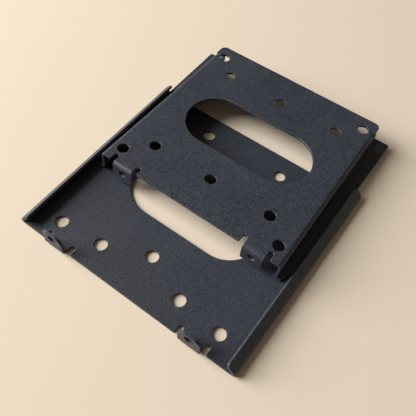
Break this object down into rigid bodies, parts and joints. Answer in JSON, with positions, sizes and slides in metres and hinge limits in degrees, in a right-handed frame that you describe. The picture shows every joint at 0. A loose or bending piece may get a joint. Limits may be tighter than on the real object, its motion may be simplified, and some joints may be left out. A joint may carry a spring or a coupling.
{
  "type": "monitor mounting bracket",
  "caption": "Low-profile slide-in bracket of folded sheet steel: a railed wall plate and a screen plate that slides into it, for a flat display.",
  "frame": {"origin": "centre of the wall plate's 100 x 100 mm hole square, on the plate's back face", "axes": "+Z out of the wall, from the back of the wall plate to the face of the screen plate; +Y along the rails, the way the screen plate slides out; +X across the rails"},
  "size_m": [0.1402, 0.1738, 0.015],
  "materials": {
    "wall_plate_coat": "fine-textured matt powder coat",
    "screen_plate_coat": "fine-textured matt powder coat"
  },
  "bodies": {
    "wall_plate": {"wall_plate": "wall_plate_coat"},
    "screen_plate": {"screen_plate": "screen_plate_coat"}
  },
  "joints": [
    {"name": "screen_plate_slide", "type": "slide", "parent": "wall_plate", "child": "screen_plate", "axis": [0, 1, 0], "range_m": [-0.0495, 0.08]}
  ]
}
